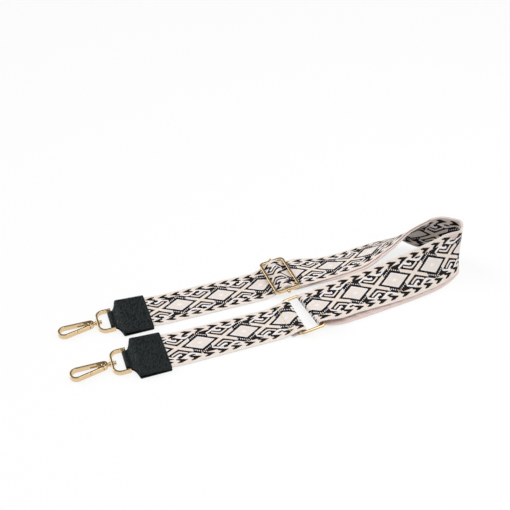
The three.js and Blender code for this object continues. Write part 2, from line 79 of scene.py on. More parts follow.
# Table and light: a plain pale table top in a white room with a darker wall behind, a window to its left
# and two broad lamps.
def material(name, roughness=0.5, metallic=0.0):
    made = bpy.data.materials.new(name)
    made.use_nodes = True
    tree = made.node_tree
    shader = tree.nodes["Principled BSDF"]
    shader.inputs["Roughness"].default_value = roughness
    shader.inputs["Metallic"].default_value = metallic
    return made, tree, shader


def tint(red, green, blue):
    """A colour as seen on a screen, 0 to 255, as the linear values that a shader takes."""
    return tuple((c / 255 / 12.92 if c < 10 else ((c / 255 + 0.055) / 1.055) ** 2.4)
                 for c in (red, green, blue)) + (1.0,)


def link(tree, value, socket):
    """A socket, a colour or a number into a shader input."""
    if isinstance(value, bpy.types.NodeSocket):
        tree.links.new(value, socket)
    else:
        socket.default_value = value


def node(tree, kind, **inputs):
    """A shader node: its own settings by their names, and its inputs by theirs, with _ for a space."""
    made = tree.nodes.new("ShaderNode" + kind)
    for name, value in inputs.items():
        if name.islower():
            setattr(made, name, value)
        else:
            link(tree, value, made.inputs[name.replace("_", " ")])
    return made


class Sum:
    """A shader value that can be added, compared and so on, to write a figure as a formula."""

    def __init__(self, tree, socket):
        self.tree, self.socket = tree, socket

    def do(self, operation, *others):
        made = self.tree.nodes.new("ShaderNodeMath")
        made.operation = operation
        for put, value in zip(made.inputs, (self, *others)):
            if isinstance(value, Sum):
                self.tree.links.new(value.socket, put)
            else:
                put.default_value = value
        return Sum(self.tree, made.outputs[0])

    def __add__(self, other): return self.do("ADD", other)
    def __sub__(self, other): return self.do("SUBTRACT", other)
    def __mul__(self, other): return self.do("MULTIPLY", other)
    def __lt__(self, other): return self.do("LESS_THAN", other)
    def __gt__(self, other): return self.do("GREATER_THAN", other)
    def __and__(self, other): return self.do("MULTIPLY", other)
    def __or__(self, other): return self.do("MAXIMUM", other)
    def within(self, low, high): return (self > low) & (self < high)
    def size(self): return self.do("ABSOLUTE")
    def flip(self): return self.do("MULTIPLY_ADD", -1.0, 1.0)
    def part(self): return self.do("FRACT")
    def step(self, cell): return self.do("SNAP", cell) + cell / 2


floor_white, floor_tree, floor_shader = material("table_top", roughness=0.8)
floor_noise = node(floor_tree, "TexNoise", Scale=40.0, Detail=4.0)
floor_ramp = node(floor_tree, "MapRange", Value=floor_noise.outputs["Fac"],
                  To_Min=0.985, To_Max=0.995)
link(floor_tree, floor_ramp.outputs["Result"], floor_shader.inputs["Base Color"])
floor_shader.inputs["Specular IOR Level"].default_value = 0.1
ray = node(floor_tree, "LightPath")
camera_ray, mirror_ray, glass_ray = (Sum(floor_tree, ray.outputs[f"Is {kind} Ray"])
                                     for kind in ("Camera", "Glossy", "Transmission"))
share = (camera_ray | mirror_ray | glass_ray) * 0.8
paper = node(floor_tree, "Emission", Color=(1, 1, 1, 1))
lit = node(floor_tree, "MixShader", Fac=share.socket)
link(floor_tree, floor_shader.outputs[0], lit.inputs[1])
link(floor_tree, paper.outputs[0], lit.inputs[2])
link(floor_tree, lit.outputs[0], floor_tree.nodes["Material Output"].inputs["Surface"])
bpy.ops.mesh.primitive_plane_add(size=8, location=(0, 0, -0.0002))
table_top = bpy.context.object
table_top.name = "table_top"
table_top.data.materials.append(floor_white)

room = bpy.data.worlds.new("room")
room.use_nodes = True
bpy.context.scene.world = room
sky = room.node_tree
direction = node(sky, "TexCoord")
heights = node(sky, "SeparateXYZ", Vector=direction.outputs["Generated"])


def patch(toward, outer, inner, beyond, within):
    """A value that changes round a direction of the room, smoothly between two cosines."""
    near = node(sky, "VectorMath", operation="DOT_PRODUCT")
    link(sky, direction.outputs["Generated"], near.inputs[0])
    near.inputs[1].default_value = toward
    made = node(sky, "MapRange", Value=near.outputs["Value"], interpolation_type="SMOOTHSTEP",
                From_Min=outer, From_Max=inner, To_Min=beyond, To_Max=within)
    return Sum(sky, made.outputs["Result"])


height, across = Sum(sky, heights.outputs["Z"]), Sum(sky, heights.outputs["X"])
glow = (height.do("MAXIMUM", 0.0) * 0.62 + 0.29) * (across * 0.4 + 1.0)
darker_wall = patch((0.20, 0.76, 0.62), 0.74, 0.96, 1.0, 0.27)
shaded_side = patch((-0.25, -0.72, 0.65), 0.86, 0.97, 1.0, 0.4)
window = patch((-0.56, 0.60, 0.57), 0.90, 0.98, 0.0, 3.0)
glow = glow * darker_wall * shaded_side + window
seen = node(sky, "LightPath")
level = node(sky, "Mix", data_type="FLOAT", Factor=seen.outputs["Is Camera Ray"])
link(sky, glow.socket, level.inputs[2])
level.inputs[3].default_value = 1.0
link(sky, level.outputs[0], sky.nodes["Background"].inputs["Strength"])
sky.nodes["Background"].inputs["Color"].default_value = (1, 1, 1, 1)


def lamp(name, place, size, watts):
    """A round lamp in metres, turned to the strap."""
    light = bpy.data.lights.new(name, "AREA")
    light.shape = "DISK"
    light.size = size
    light.energy = watts
    made = bpy.data.objects.new(name, light)
    made.location = place
    made.rotation_euler = (-Vector(place)).to_track_quat("-Z", "Y").to_euler()
    bpy.context.scene.collection.objects.link(made)


lamp("broad_lamp", (0.35, -0.25, 1.6), 1.1, 6.4)
lamp("front_lamp", (0.5, -1.2, 0.9), 0.7, 1.5)

# Snap hooks: two drop-shaped hooks, cast in zinc and plated pale gold, a flat band with a sprung gate in its
# side. The gate turns on a riveted pin between the hook's ears, and the shank turns in the swivel eye, held
# by a washer and its own peened end.
ORIGIN = np.array((8.557, -0.75, 0.101))
FRONT = (-145.4, -32.9)
REAR = (-148.1, 32.9)
HARDWARE_HEIGHT = 2.9
TONGUE_REACH = 41.3
EYE_REACH = 16.1
HOOK_BAND, HOOK_HEIGHT, HOOK_EDGE = 2.3, 5.6, 0.5
PIVOT, BASE_RADIUS, BASE_HEIGHT = 7.5, 4.5, 4.4
BOW, BOW_OFFSET, BOW_RADIUS, THROAT = 34.5, 2.75, 7.75, 14.0
GATE_REACH, GATE_GAP, GATE_SWING = 16.2, 0.35, math.radians(28)
KNUCKLE, KNUCKLE_THICKNESS, SLOT_HEIGHT = 3.0, 0.9, 3.0
PIN, PIN_HEAD = 1.0, 2.2
SHANK, EYE_BAND, WASHER, WASHER_THICKNESS = 1.4, 2.3, 2.75, 0.8
CHANNEL_LENGTH, CHANNEL_DEPTH = 9, 0.9
SPRING_WIRE, SPRING_RADIUS, SPRING_TURNS, SPRING_PITCH = 0.15, 1.7, 2.5, 0.42
CLEARANCE = 0.3
AXIS = 0.001


def solid(name, points, faces, look, crease=35, uv=None):
    """A piece from points in millimetres and faces, smooth but for edges sharper than crease degrees."""
    mesh = bpy.data.meshes.new(name)
    mesh.from_pydata([tuple(p) for p in np.asarray(points, float) / 1000], [], faces)
    mesh.materials.append(look)
    piece = bpy.data.objects.new(name, mesh)
    bpy.context.scene.collection.objects.link(piece)
    if uv is not None:
        layer = mesh.uv_layers.new(name="flat")
        corners = np.empty(len(mesh.loops), int)
        mesh.loops.foreach_get("vertex_index", corners)
        layer.data.foreach_set("uv", np.asarray(uv, float)[corners].ravel())
    mesh.shade_smooth()
    mesh.set_sharp_from_angle(angle=math.radians(crease))
    return piece


def loft(rows, closed=False):
    """Points and faces of a body through rows of points: capped, or joined end to end."""
    rows = np.asarray(rows, float)
    count, around = rows.shape[:2]
    faces = []
    for i in range(count if closed else count - 1):
        a, b = i * around, (i + 1) % count * around
        for j in range(around):
            k = (j + 1) % around
            faces.append((a + j, a + k, b + k, b + j))
    if not closed:
        faces.append(tuple(range(around))[::-1])
        faces.append(tuple(range((count - 1) * around, count * around)))
    return rows.reshape(-1, 3), faces


def swept(path, section, closed=False):
    """A section carried along a plan path of (x, y, outward x, outward y)."""
    return loft([[(x + nx * o, y + ny * o, z) for o, z in section[::-1]] for x, y, nx, ny in path], closed)


def arc(x, y, radius, start, end, steps):
    """An arc as a plan path of (x, y, outward x, outward y)."""
    return [(x + radius * math.cos(a), y + radius * math.sin(a), math.cos(a), math.sin(a))
            for a in (start + (end - start) * i / steps for i in range(steps + 1))]


def rectangle(x_half, y_half, radius, steps):
    """A rounded rectangle as a plan path, anticlockwise."""
    out = []
    for quarter, (sx, sy) in enumerate(((1, 1), (-1, 1), (-1, -1), (1, -1))):
        out += arc(sx * (x_half - radius), sy * (y_half - radius), radius,
                   quarter * math.pi / 2, (quarter + 1) * math.pi / 2, steps)
    return out


def rounded_box(wide, high, radius, steps=4):
    """A section (out, up) with rounded corners."""
    return [(x, y) for x, y, *_ in rectangle(wide / 2, high / 2, radius, steps)]


def circle(radius, sides, way=1):
    """Points of a circle, anticlockwise, or clockwise where way is -1."""
    return [(radius * math.cos(a), radius * math.sin(a))
            for a in (way * 2 * math.pi * i / sides for i in range(sides))]


def turned(profile, sides=48):
    """A body turned about x from a profile of (radius, x); its ends lie on the axis."""
    return loft([[(x, y, z) for y, z in circle(r, sides)] for r, x in profile])


def disc(radius, low, high, sides=64):
    """A round plate, upright about the gate's pin."""
    return loft([[(PIVOT + a, b, z) for a, b in circle(radius, sides)] for z in (low, high)])


def block(x0, x1, y0, y1, z0, z1, turn=0.0, at=0):
    """A box, turned about the upright through the origin and then moved along x."""
    c, s = math.cos(turn), math.sin(turn)
    return loft([[(at + c * x - s * y, s * x + c * y, z)
                  for x, y in ((x0, y0), (x1, y0), (x1, y1), (x0, y1))] for z in (z0, z1)])


def carve(piece, *steps):
    """Joins ('UNION'), cuts ('DIFFERENCE') or keeps ('INTERSECT') bodies in turn, as a mesh."""
    for operation, body in [(operation, body) for operation, *bodies in steps for body in bodies]:
        tool = solid("tool", *body, piece.data.materials[0])
        change = piece.modifiers.new("carve", "BOOLEAN")
        change.operation, change.object, change.solver = operation, tool, "EXACT"
        bpy.context.view_layer.update()
        made = bpy.data.meshes.new_from_object(piece.evaluated_get(bpy.context.evaluated_depsgraph_get()))
        piece.modifiers.clear()
        piece.data = made
        bpy.data.objects.remove(tool)
    piece.data.shade_smooth()
    piece.data.set_sharp_from_angle(angle=math.radians(32))
    return piece


def two_tones(tree, share, first, second, **settings):
    """A mix of two tones, by a value that may vary over the surface."""
    mixed = node(tree, "Mix", data_type="RGBA", Factor=share, **settings)
    link(tree, first, mixed.inputs[6])
    link(tree, second, mixed.inputs[7])
    return mixed.outputs[2]


def gilding(name, tone, roughness):
    """Polished pale gold plating: a little uneven, with fine rubbing marks and soft dimples."""
    made, tree, shader = material(name, roughness, 1.0)
    at = node(tree, "TexCoord").outputs["Object"]
    cloud = node(tree, "TexNoise", Vector=at, Scale=180.0, Detail=3.0)
    darker = tuple(0.93 * c for c in tone[:3]) + (1.0,)
    link(tree, two_tones(tree, cloud.outputs["Fac"], tone, darker), shader.inputs["Base Color"])
    long_way = node(tree, "Mapping", Vector=at, Scale=(500, 4000, 4000))
    rub = node(tree, "TexNoise", Vector=long_way.outputs["Vector"], Scale=1.0, Detail=2.0)
    haze = node(tree, "MapRange", Value=rub.outputs["Fac"],
                To_Min=roughness - 0.05, To_Max=roughness + 0.08)
    link(tree, haze.outputs["Result"], shader.inputs["Roughness"])
    dimple = node(tree, "TexNoise", Vector=at, Scale=260.0, Detail=1.0)
    bump = node(tree, "Bump", Strength=0.25, Distance=0.0001, Height=dimple.outputs["Fac"])
    link(tree, bump.outputs["Normal"], shader.inputs["Normal"])
    return made


gilt = gilding("gilt", tint(230, 203, 160), 0.14)
bow_distance = math.hypot(BOW - PIVOT, BOW_OFFSET)
axis_angle = math.atan2(BOW_OFFSET, BOW - PIVOT)
flare = math.asin((BOW_RADIUS - BASE_RADIUS) / bow_distance)
gate_angle = axis_angle + flare
in_band = BASE_RADIUS - HOOK_BAND


def drop(inset):
    """The drop-shaped line round the hook's two circles."""
    quarter = math.pi / 2
    return arc(PIVOT, 0, BASE_RADIUS - inset, axis_angle + flare + quarter,
               axis_angle - flare - quarter + 2 * math.pi, 20) + arc(
        BOW, BOW_OFFSET, BOW_RADIUS - inset, axis_angle - flare - quarter,
        axis_angle + flare + quarter, 64)


def drop_plate(inset, height, edge):
    """The whole drop as a plate with rounded edges."""
    rows = []
    for k in (4, 3, 2, 1, 0):
        a = k / 4 * math.pi / 2
        rows.append([(x, y, -height / 2 + edge * (1 - math.sin(a)))
                     for x, y, *_ in drop(inset + edge * (1 - math.cos(a)))])
    top = [[(x, y, -z) for x, y, z in row] for row in rows[::-1]]
    return loft(rows + top)


def gate_zone(grow, turn):
    """The ring about the pin that the gate's band takes up, outside a line turned from the gate's."""
    ring = solid("zone", *disc(GATE_REACH + grow, -12, 12, 96), gilt)
    carve(ring, ("DIFFERENCE", disc(BASE_RADIUS + GATE_GAP - grow, -14, 14)),
          ("INTERSECT", block(0, GATE_REACH + 2, in_band - GATE_GAP, 3 * BASE_RADIUS, -11, 11,
                              gate_angle - turn, PIVOT)))
    points = [tuple(v.co * 1000) for v in ring.data.vertices]
    faces = [tuple(p.vertices) for p in ring.data.polygons]
    bpy.data.objects.remove(ring)
    return points, faces


hook_ring = swept(drop(HOOK_BAND / 2), rounded_box(HOOK_BAND, HOOK_HEIGHT, HOOK_EDGE), closed=True)
shank_end = -EYE_BAND - WASHER_THICKNESS - 3 * CLEARANCE
neck_end = PIVOT - KNUCKLE - 2 * CLEARANCE
half_slot = SLOT_HEIGHT / 2
peen = ((AXIS, -0.4), (0.8, -0.55), (1.15, -1.1), (1.3, -1.42), (1.6, -1.5), (2.05, -1.4), (2.35, -1.05),
        (2.35, -0.6), (1.95, -0.12), (SHANK, 0))
collar = ((SHANK, 0.3), (2.6, 0.3), (2.9, 0.6), (2.9, 1.2), (2.6, 1.6), (2.2, 2.0), (2.1, 2.5), (2.2, 3.0),
          (2.1, neck_end), (AXIS, neck_end))
neck = turned([(r, shank_end + x) for r, x in peen] + list(collar))
root = drop_plate(0.05, HOOK_HEIGHT - 0.04, HOOK_EDGE)
channel = block(KNUCKLE, BASE_RADIUS + CHANNEL_LENGTH, -in_band - CHANNEL_DEPTH, 0, -half_slot, half_slot,
                axis_angle - flare, PIVOT)
slot_front = block(PIVOT, PIVOT + BASE_RADIUS + 1.3, -in_band - CLEARANCE, 3 * BASE_RADIUS,
                   -half_slot, half_slot)
hook = solid("front_hook_body", *root, gilt)
carve(hook, ("INTERSECT", block(-5, THROAT, -20, 20, -9, 9)),
      ("UNION", hook_ring),
      ("DIFFERENCE", gate_zone(GATE_GAP, 0), gate_zone(GATE_GAP, GATE_SWING),
       disc(KNUCKLE + CLEARANCE, -half_slot, half_slot), slot_front, channel,
       disc(PIN_HEAD + CLEARANCE, BASE_HEIGHT / 2, 9), disc(PIN_HEAD + CLEARANCE, -9, -BASE_HEIGHT / 2),
       disc(PIN + CLEARANCE, -8, 8, 24)),
      ("UNION", neck))

knuckle_z = (half_slot - CLEARANCE - KNUCKLE_THICKNESS, half_slot - CLEARANCE)
gate = solid("front_gate_body", *hook_ring, gilt)
carve(gate, ("INTERSECT", gate_zone(0, 0)),
      ("UNION", disc(KNUCKLE, *knuckle_z),
       block(PIN + CLEARANCE, BASE_RADIUS + 1, in_band - HOOK_EDGE, BASE_RADIUS - HOOK_EDGE,
             *knuckle_z, gate_angle, PIVOT)),
      ("DIFFERENCE", disc(PIN + CLEARANCE, -8, 8, 24)))

reach = BASE_HEIGHT / 2 + CLEARANCE
head = [(AXIS, reach + 0.28), (0.8, reach + 0.27), (1.6, reach + 0.2), (2.05, reach + 0.12),
        (PIN_HEAD, reach), (PIN, reach)]
pin_points, pin_faces = turned([(r, -x) for r, x in head] + head[::-1])
pin = solid("front_pin", [(PIVOT + y, z, x) for x, y, z in pin_points], pin_faces, gilt)

washer_x = -EYE_BAND - CLEARANCE - WASHER_THICKNESS
washer_rim = ((SHANK + CLEARANCE, 0.1), (1.8, 0), (2.6, 0), (WASHER, 0.15), (WASHER, 0.65),
              (2.6, WASHER_THICKNESS), (1.8, WASHER_THICKNESS), (SHANK + CLEARANCE, 0.7))
washer_rows = [[(washer_x + x, r * a, r * b) for r, x in washer_rim] for a, b in circle(1, 48, -1)]
washer = solid("front_washer_disc", *loft(washer_rows, closed=True), gilt)


def wire(points, radius, sides=10):
    """A round wire through points."""
    points = np.asarray(points, float)
    along = np.gradient(points, axis=0)
    along /= np.linalg.norm(along, axis=1)[:, None]
    side = np.cross(along[0], (0.31, 0.17, 0.93))
    rows = []
    for p, d in zip(points, along):
        side = side - d * (side @ d)
        side /= np.linalg.norm(side)
        other = np.cross(d, side)
        rows.append([p + a * side + b * other for a, b in circle(radius, sides)])
    return loft(rows)


steel, steel_tree, steel_shader = material("spring_steel", 0.35, 1.0)
drawn = node(steel_tree, "TexNoise", Scale=3000.0, Detail=2.0)
link(steel_tree, two_tones(steel_tree, drawn.outputs["Fac"], tint(150, 152, 156), tint(120, 120, 122)),
     steel_shader.inputs["Base Color"])
coil = []
sweep = -(SPRING_TURNS * 2 * math.pi - gate_angle)
coil_rise = SPRING_TURNS * SPRING_PITCH
for part in (i / 120 for i in range(121)):
    a = -math.pi / 2 + sweep * part
    coil.append((PIVOT + SPRING_RADIUS * math.cos(a), SPRING_RADIUS * math.sin(a), (part - 1) * coil_rise))
first_leg = [(coil[0][0] + x, coil[0][1], coil[0][2]) for x in (4, 3, 2, 1)]
last_leg = [(coil[-1][0] + x * math.cos(gate_angle), coil[-1][1] + x * math.sin(gate_angle), coil[-1][2])
            for x in (1, 2, 3, 4)]
spring = solid("front_spring", *wire(first_leg + coil + last_leg, SPRING_WIRE), steel)


def carried(piece, body, stands_for=None):
    """Lets a piece move with a body of the frame, in place of a plain solid there."""
    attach(piece, body)
    if stands_for:
        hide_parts(stands_for)


def at_both_ends(piece, reach, height, body, stands_for=None):
    """Puts a piece made at the origin, pointing to +X, on the strap's front end and a copy on the rear."""
    second = piece.copy()
    second.data = piece.data.copy()
    second.name = second.data.name = piece.name.replace("front", "rear")
    bpy.context.scene.collection.objects.link(second)
    for each, (x, y), which in ((piece, FRONT, "front"), (second, REAR, "rear")):
        move = Matrix.Translation(Vector((x, y, 0)) / 1000 + Vector(ORIGIN) / 1000)
        move = move @ Matrix.Rotation(math.pi, 4, "Z") @ Matrix.Translation(Vector((reach, 0, height)) / 1000)
        each.data.transform(move)
        each.data.update()
        carried(each, f"{which}_{body}", stands_for and f"{which}_{stands_for}")


for made, body, finish, stands_for in (
        (hook, "hook", "gilt", "hook"), (gate, "gate", "gilt", "gate"), (pin, "hook", "gilt", "gate_pin"),
        (washer, "hook", "gilt", "washer"), (spring, "hook", "spring_steel", "gate_spring")):
    at_both_ends(made, TONGUE_REACH + EYE_REACH, HARDWARE_HEIGHT, body, stands_for)

# Swivel eyes: one D-shaped loop at each end, cast as a flat band and plated like the hooks. A round bar
# across its heel lies inside the fold of the leather, and a hole in its crown holds the hook's shank.
EYE_WIDTH, EYE_HEIGHT, EYE_CORNER, EYE_HEEL, EYE_BAR, EYE_BAR_REACH = 34.0, 5.0, 9.0, 1.8, 1.2, 15.6


def rod(radius, start, end, sides):
    """A plain round rod, or the hole for one, along x."""
    return turned([(AXIS, start), (radius, start), (radius, end), (AXIS, end)], sides)


def crosswise(points):
    """Turns a body made about x to lie along y."""
    return [(y, x, -z) for x, y, z in points]


eye_bend = EYE_CORNER - EYE_BAND / 2
crown = EYE_REACH - EYE_CORNER
corner_y = EYE_WIDTH / 2 - EYE_CORNER
leg = [(x, EYE_WIDTH / 2 - EYE_BAND / 2, 0.0, 1.0) for x in (-EYE_HEEL, -EYE_HEEL + 0.35)]
loop = leg + arc(crown, corner_y, eye_bend, math.pi / 2, 0, 20) + arc(
    crown, -corner_y, eye_bend, 0, -math.pi / 2, 20) + [(x, -y, nx, -ny) for x, y, nx, ny in leg[::-1]]
eye = solid("front_eye_band", *swept(loop, rounded_box(EYE_BAND, EYE_HEIGHT, 0.5)[::-1]), gilt)
heel_points, heel_faces = rod(EYE_BAR, -EYE_BAR_REACH, EYE_BAR_REACH, 32)
carve(eye, ("UNION", (crosswise(heel_points), heel_faces)),
      ("DIFFERENCE", rod(SHANK + CLEARANCE, EYE_REACH - 6, EYE_REACH + 3, 40)))
at_both_ends(eye, TONGUE_REACH, HARDWARE_HEIGHT, "eye", "eye")

# Leather tabs: one panel of pebbled black cowhide at each end, folded round the eye's bar, its two faces sewn
# together with black thread round the webbing's end. Its shoulders sweep in to a narrow tongue.
TAB_LENGTH, TAB_WIDTH, TONGUE_WIDTH, TAB_CORNER, LEATHER = 33.0, 56.0, 24.0, 1.5, 1.3
hide, hide_tree, hide_shader = material("leather", 0.5)
lie = node(hide_tree, "Mapping", Scale=(1.0, 0.42, 1.0),
           Vector=node(hide_tree, "TexCoord").outputs["Object"])
where = lie.outputs["Vector"]
drift = node(hide_tree, "TexNoise", Vector=where, Scale=300.0, Detail=3.0)
swayed = node(hide_tree, "Mix", data_type="VECTOR", Factor=0.0015)
link(hide_tree, where, swayed.inputs[4])
link(hide_tree, drift.outputs["Color"], swayed.inputs[5])
pebbles = node(hide_tree, "TexVoronoi", feature="F1", Vector=swayed.outputs[1], Scale=760.0)
pebble_height_and_painted_shade = node(hide_tree, "MapRange", Value=pebbles.outputs["Distance"], From_Min=0.1, From_Max=0.75,
              To_Min=1.0, To_Max=0.0, interpolation_type="SMOOTHSTEP")
pores = node(hide_tree, "TexNoise", Vector=where, Scale=2600.0, Detail=3.0)
skin = Sum(hide_tree, pores.outputs["Fac"]).do("MULTIPLY_ADD", 0.3, Sum(hide_tree, pebble_height_and_painted_shade.outputs["Result"]))
hide_bump = node(hide_tree, "Bump", Strength=1.0, Distance=0.0005, Height=skin.socket)
link(hide_tree, hide_bump.outputs["Normal"], hide_shader.inputs["Normal"])
# Base colour: lighter on the pebbles' tops and darker in the creases between them, painted shade that follows
# the grain's height.
link(hide_tree, two_tones(hide_tree, pebble_height_and_painted_shade.outputs["Result"], tint(5, 8, 9), tint(20, 28, 30)),
     hide_shader.inputs["Base Color"])
hide_gloss = node(hide_tree, "MapRange", Value=drift.outputs["Fac"], To_Min=0.3, To_Max=0.44)
link(hide_tree, hide_gloss.outputs["Result"], hide_shader.inputs["Roughness"])
hide_shader.inputs["Specular IOR Level"].default_value = 0.26
hide_shader.inputs["Specular Tint"].default_value = (0.85, 1.0, 1.0, 1.0)


def bezier(p, q, r, s, t):
    """A shoulder's smooth line through its ends p and s, drawn towards q and r."""
    return p * (1 - t) ** 3 + 3 * q * t * (1 - t) ** 2 + 3 * r * t * t * (1 - t) + s * t ** 3


tab_side, tongue = TAB_WIDTH / 2, TONGUE_WIDTH / 2
shoulder_t = np.linspace(0, 1, 60)
tongue_length = TONGUE_REACH - TAB_LENGTH
shoulder_x = bezier(TAB_LENGTH, TAB_LENGTH + TAB_CORNER, TAB_LENGTH + tongue_length / 3, TONGUE_REACH,
                    shoulder_t)
shoulder_y = bezier(tab_side - TAB_CORNER, (tab_side + tongue) / 2, tongue + TAB_CORNER, tongue, shoulder_t)


def half_width(x):
    """The tab's half width at a distance from its butt end."""
    if x > TAB_LENGTH:
        return float(np.interp(x, shoulder_x, shoulder_y))
    past = max(0.0, TAB_CORNER - x, x - TAB_LENGTH + TAB_CORNER)
    return tab_side - TAB_CORNER + math.sqrt(max(0.0, TAB_CORNER ** 2 - past ** 2))


def thick(mid, thickness, rim=3):
    """A closed skin about a grid of middle points, with a rounded rim."""
    mid = np.asarray(mid, float)
    u, v = np.gradient(mid, axis=0), np.gradient(mid, axis=1)
    normal = np.cross(u, v)
    normal /= np.linalg.norm(normal, axis=2)[:, :, None]
    top, low = mid + normal * thickness / 2, mid - normal * thickness / 2
    rows, columns = mid.shape[:2]
    points = [top.reshape(-1, 3), low.reshape(-1, 3)]
    faces, shift = [], rows * columns
    index = np.arange(shift).reshape(rows, columns)
    for i, j in np.ndindex(rows - 1, columns - 1):
        a, b, c, d = index[i, j], index[i + 1, j], index[i + 1, j + 1], index[i, j + 1]
        faces += [(a, b, c, d), (d + shift, c + shift, b + shift, a + shift)]
    edge = [(i, 0) for i in range(rows)] + [(rows - 1, j) for j in range(1, columns)]
    edge += [(i, columns - 1) for i in range(rows - 2, -1, -1)] + [(0, j) for j in range(columns - 2, 0, -1)]
    count = 2 * shift
    rings = [[index[e] for e in edge]]
    for k in range(1, rim):
        a = math.pi * k / rim
        ring = []
        for i, j in edge:
            ii, jj = min(max(i, 1), rows - 2), min(max(j, 1), columns - 2)
            out = mid[i, j] - mid[ii, jj]
            out -= normal[i, j] * (out @ normal[i, j])
            out /= max(np.linalg.norm(out), 1e-9)
            points.append((mid[i, j] + normal[i, j] * math.cos(a) * thickness / 2
                           + out * math.sin(a) * thickness / 4)[None])
            ring.append(count)
            count += 1
        rings.append(ring)
    rings.append([index[e] + shift for e in edge])
    for here, there in zip(rings, rings[1:]):
        for m in range(len(edge)):
            n = (m + 1) % len(edge)
            faces.append((here[n], here[m], there[m], there[n]))
    return np.vstack(points), faces


fold_radius = EYE_BAR + CLEARANCE + LEATHER / 2
low_z, high_z = LEATHER / 2, 2 * LEATHER + 1.4 + 2 * CLEARANCE - LEATHER / 2
stations = [(x, low_z, x) for x in np.concatenate((np.linspace(0, TAB_CORNER, 5)[:-1],
            np.linspace(TAB_CORNER, TAB_LENGTH - TAB_CORNER, 30)[:-1],
            np.linspace(TAB_LENGTH - TAB_CORNER, TONGUE_REACH - 1, 24)))]
wrap = [(TONGUE_REACH + fold_radius * math.cos(a), HARDWARE_HEIGHT + fold_radius * math.sin(a), TONGUE_REACH)
        for a in (-math.pi * 0.62 + math.pi * 1.24 * i / 18 for i in range(19))]
stations = [(x, z, w) for x, z, w in stations if x < wrap[0][0] - 0.6] + wrap + [
    (x, high_z, w) for x, z, w in stations[::-1] if x < wrap[-1][0] - 0.6]


def pinch(x, y, z):
    """The upper face: a flat panel that rises to a ridge where the webbing ends inside, falls from it to
    the tongue, and eases down at its sewn margins."""
    if z < HARDWARE_HEIGHT:
        return z
    lift = float(np.interp(x, (0, 6, 25, 30.2, 30.8, 37.5, 39.5), (-0.45, 0, 1.5, 2.3, 2.2, -0.6, 0.0)))
    margin = min(1.0, max(0.0, (abs(y) - 25.2) / 2.8)) ** 2
    return z + lift * (1 - 0.35 * margin) - 0.7 * margin * (x < TONGUE_REACH - 3)


grid = []
for x, z, w in stations:
    wide = half_width(min(w, TONGUE_REACH))
    grid.append([(x, y, pinch(x, y, z)) for y in np.linspace(-wide, wide, 41)])
tab = solid("front_tab_leather", *thick(np.array(grid)[:, ::-1], LEATHER), hide, 50)


def thread(name, first, second):
    """Twisted sewing thread in two tones."""
    made, tree, shader = material(name, 0.6)
    twist = node(tree, "TexWave", Scale=900.0, Distortion=2.0)
    link(tree, two_tones(tree, twist.outputs["Fac"], first, second), shader.inputs["Base Color"])
    return made


def stitches(name, line, normal, radius, look, length=2.4, gap=0.7, lift=0.12):
    """A row of sewn stitches along a line of points: each a short thread that dips in at both ends."""
    line, normal = np.asarray(line, float), np.asarray(normal, float)
    far = np.concatenate(([0], np.cumsum(np.linalg.norm(np.diff(line, axis=0), axis=1))))
    points, faces = [], []
    count = int(far[-1] / (length + gap))
    step = far[-1] / count
    for i in range(count):
        s = step * i + np.linspace(gap / 2, step - gap / 2, 7)
        mid = np.stack([np.interp(s, far, line[:, k]) for k in range(3)], 1)
        up = np.stack([np.interp(s, far, normal[:, k]) for k in range(3)], 1)
        dip = np.array([-1.6, -0.2, 0.75, 1.0, 0.75, -0.2, -1.6]) * lift
        p, f = wire(mid + up * dip[:, None], radius, 8)
        faces += [tuple(v + len(points) for v in face) for face in f]
        points += list(p)
    return solid(name, points, faces, look, 60)


def tab_line(margin):
    """A line on the tab's upper face, a margin in from its edge, from one tongue side to the other."""
    xs = np.concatenate((np.linspace(TONGUE_REACH - 5.5, TAB_LENGTH - 0.5, 14),
                         np.linspace(TAB_LENGTH - 1.5, margin, 26)))
    out = [(x, half_width(x + margin * 0.4 * (x > TAB_LENGTH - 6)) - margin) for x in xs]
    ys = np.linspace(out[-1][1], -out[-1][1], 36)[1:-1]
    out = out + [(margin, y) for y in ys] + [(x, -y) for x, y in out[::-1]]
    return [(x, y, pinch(x, y, high_z) + LEATHER / 2) for x, y in out]


sewing = tab_line(2.6)
black_thread = thread("black_thread", tint(16, 17, 18), tint(38, 40, 42))
tab_thread = stitches("front_tab_thread", sewing, [(0, 0, 1)] * len(sewing), 0.26, black_thread)
at_both_ends(tab, 0, 0, "end", "tab")
at_both_ends(tab_thread, 0, 0, "end")

# Webbing: 50 mm jacquard tape, woven of cotton yarns in black, white, tan and pink. They make diamonds and
# crosses between two rows of darts, and the back shows the same figure with its tones exchanged. One long
# piece is doubled through the ring to the slider, and a short one joins the ring to the front tab.
WIDTH, THICK, LAYER = 50.0, 1.4, 1.8
HALF, FLOOR = WIDTH / 2, 0.05 + THICK / 2
RUN, REACH = 65.8, 230.0
REPEAT, PICK, END = 49.8, 0.5, 0.42
FIELD, SELVEDGE, DIAMOND = 15.8, 23.2, 9.8
ARM_SLOPE, ROUNDING = 0.573, 2.56
DART_PITCH, DART_LINE, DOT_PITCH = 14.94, 19.3, 2.1
RING_ROD, RING_LENGTH, RING_LEFT, RING_PITCH = 3.4, 28.5, -3.2, math.radians(9)
SLIDER_X, SLIDER_LENGTH, SLIDER_RAIL, SLIDER_PITCH = 8.7, 31.0, 3.0, math.radians(6.7)
SLIDER_HEIGHT, SLIDER_RAIL_HEIGHT, BAR = 10.0, 4.0, 1.25


